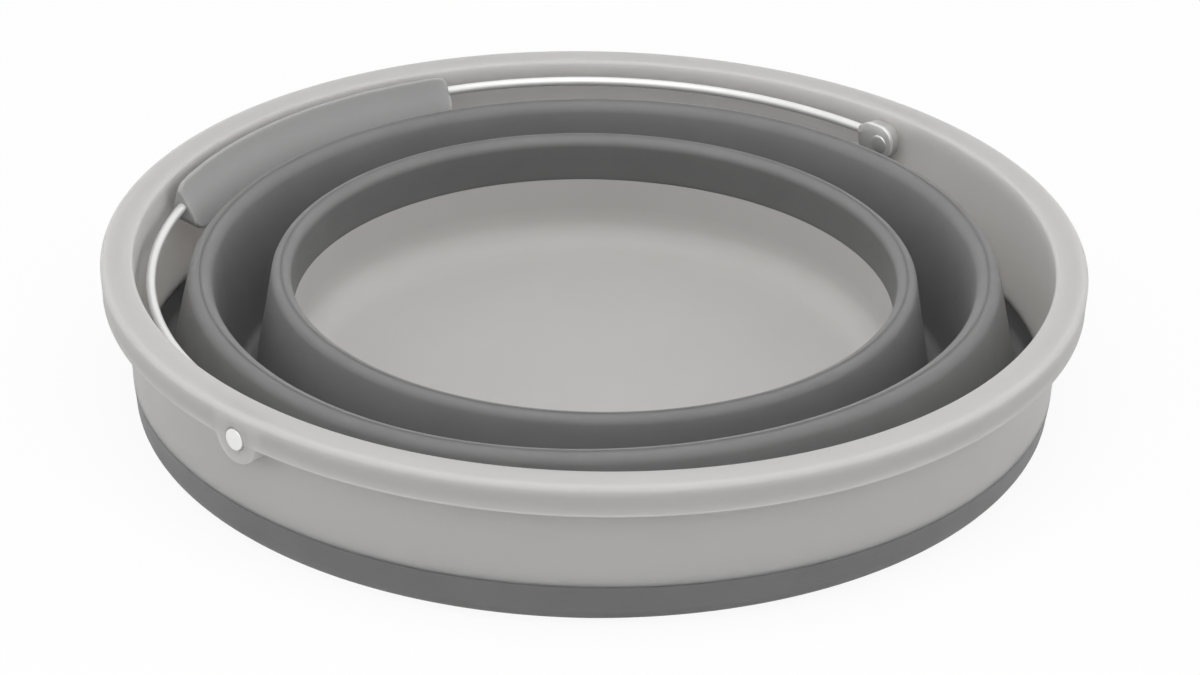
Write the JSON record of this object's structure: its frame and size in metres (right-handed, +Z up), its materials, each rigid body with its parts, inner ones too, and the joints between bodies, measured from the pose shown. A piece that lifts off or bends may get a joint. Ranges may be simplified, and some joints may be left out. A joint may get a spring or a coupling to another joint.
{
  "type": "collapsible bucket",
  "caption": "Round folding bucket with a stiff channel rim, nested rubbery bellows, a stiff dish base and a riveted wire bail with a moulded grip.",
  "frame": {"origin": "centre of the foot ring's underside, on the bucket's axis", "axes": "+Z up along the bucket's axis from the foot to the mouth; the handle's pivots lie on a line 47.3 degrees round from +X towards +Y, and the folded bail lies on the -X +Y side"},
  "size_m": [0.3294, 0.3294, 0.056],
  "materials": {
    "base_dish": "satin moulded light grey",
    "rim_ring": "satin moulded light grey",
    "bellows": "soft matt dark grey",
    "pivot_rivet": "bright turned",
    "handle_wire": "bright drawn wire",
    "handle_grip": "satin moulded mid grey"
  },
  "bodies": {
    "base": {"base_dish": "base_dish", "bellows_base_band": "bellows", "bellows_inner_fold": "bellows"},
    "middle": {"bellows_middle_band": "bellows", "bellows_outer_fold": "bellows"},
    "rim": {"rim_ring": "rim_ring", "bellows_outer_band": "bellows", "pivot_rivet_front": "pivot_rivet", "pivot_rivet_back": "pivot_rivet"},
    "handle": {"handle_wire": "handle_wire", "handle_grip": "handle_grip"}
  },
  "joints": [
    {"name": "lower_unfold", "type": "slide", "parent": "base", "child": "middle", "axis": [0, 0, 1], "range_m": [0, 0.086], "deforming": ["bellows_inner_fold"]},
    {"name": "upper_unfold", "type": "slide", "parent": "middle", "child": "rim", "axis": [0, 0, 1], "range_m": [0, 0.093], "deforming": ["bellows_outer_fold"]},
    {"name": "handle_swing", "type": "hinge", "parent": "rim", "child": "handle", "pos_m": [0, 0, 0.046], "axis": [0.6782, 0.7349, 0], "range_deg": [0, 178]}
  ]
}
